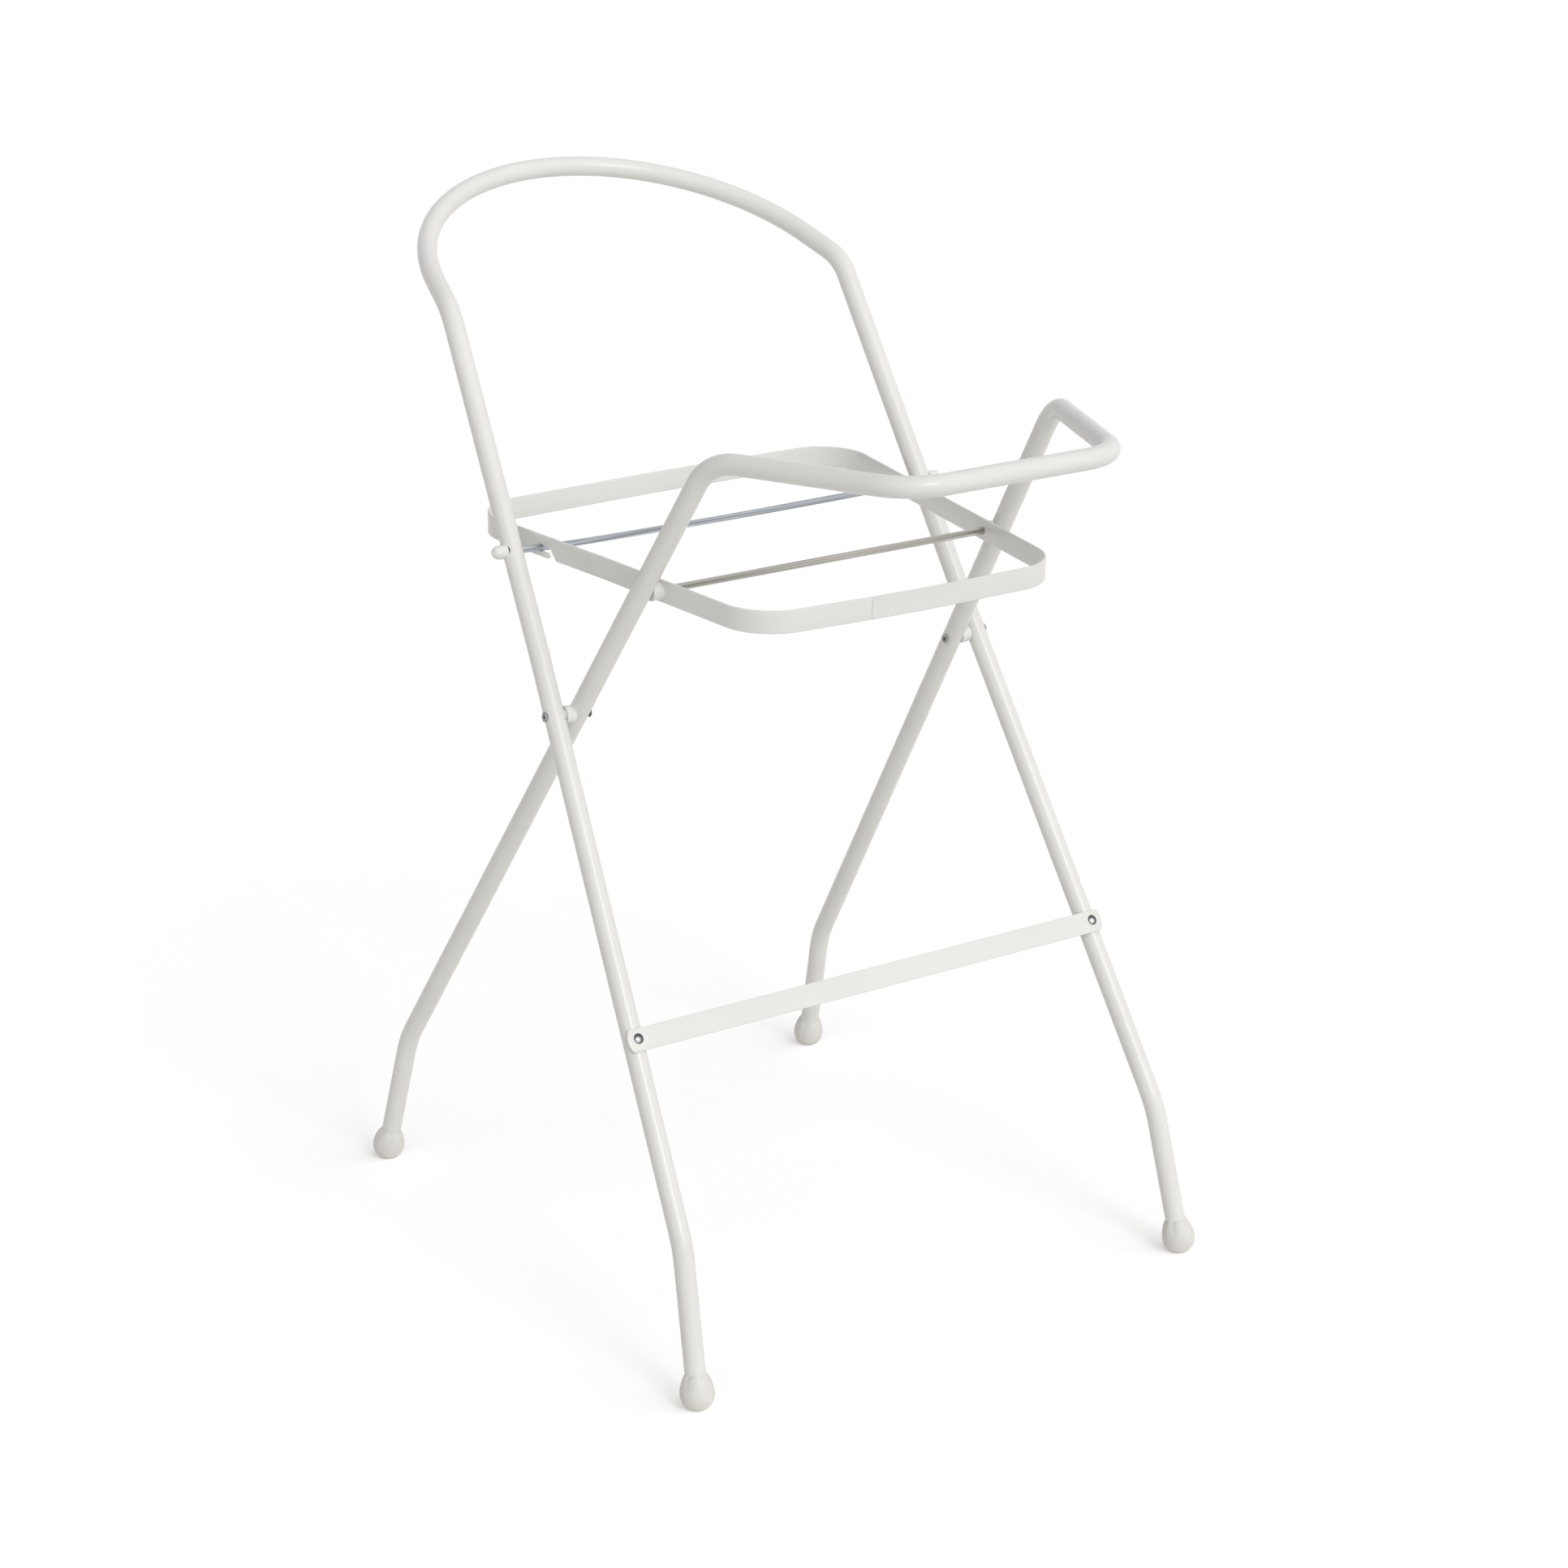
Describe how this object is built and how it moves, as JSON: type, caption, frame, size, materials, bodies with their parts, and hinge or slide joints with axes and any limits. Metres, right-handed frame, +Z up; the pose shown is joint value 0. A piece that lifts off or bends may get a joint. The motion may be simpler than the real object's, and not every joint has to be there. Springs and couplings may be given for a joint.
{
  "type": "baby bath stand",
  "caption": "Folding baby bath stand: two crossed frames of bent white tube, a hinged flat-strip band with hook slots that the bath hangs in, steel rods, a crossbar and bulb feet.",
  "frame": {"origin": "middle of the stand's bounding box, on the floor", "axes": "+Z up; -Y to the front, where the low frame's loop is; +X to the right as seen from the front"},
  "size_m": [0.6114, 0.8351, 1.0271],
  "materials": {
    "frame_coat": "glossy warm-white powder coat on steel tube and strip",
    "rod_steel": "drawn bright steel rod",
    "rivet_steel": "polished plated steel rivets",
    "washer_steel": "plated steel washers",
    "clip_steel": "dark spring-steel push-on clips",
    "cap_plastic": "white moulded plastic caps",
    "spacer_plastic": "white moulded plastic spacers",
    "foot_plastic": "satin warm off-white moulded plastic"
  },
  "bodies": {
    "tall_assembly": {"tall_frame": "frame_coat", "crossbar": "frame_coat", "latch_rod": "rod_steel", "latch_cap_left": "cap_plastic", "latch_cap_right": "cap_plastic", "latch_clip_left": "clip_steel", "latch_clip_right": "clip_steel", "crossbar_rivet_left": "rivet_steel", "crossbar_rivet_right": "rivet_steel", "pivot_rivet_left": "rivet_steel", "pivot_rivet_right": "rivet_steel", "pivot_washer_left": "washer_steel", "pivot_washer_right": "washer_steel", "foot_front_left": "foot_plastic", "foot_front_right": "foot_plastic"},
    "low_assembly": {"low_frame": "frame_coat", "hinge_rod": "rod_steel", "pivot_spacer_left": "spacer_plastic", "pivot_spacer_right": "spacer_plastic", "foot_rear_left": "foot_plastic", "foot_rear_right": "foot_plastic"},
    "band_assembly": {"support_band": "frame_coat", "hinge_spacer_left": "spacer_plastic", "hinge_spacer_right": "spacer_plastic"}
  },
  "joints": [
    {"name": "frame_fold", "type": "hinge", "parent": "tall_assembly", "child": "low_assembly", "pos_m": [0, -0.0225, 0.5852], "axis": [-1, 0, 0], "range_deg": [0, 54]},
    {"name": "band_swing", "type": "hinge", "parent": "low_assembly", "child": "band_assembly", "pos_m": [0, -0.11383, 0.7207], "axis": [1, 0, 0], "range_deg": [0, 92]}
  ],
  "couplings": [
    {"joint": "band_swing", "follows": "frame_fold", "ratio": 1.7}
  ]
}
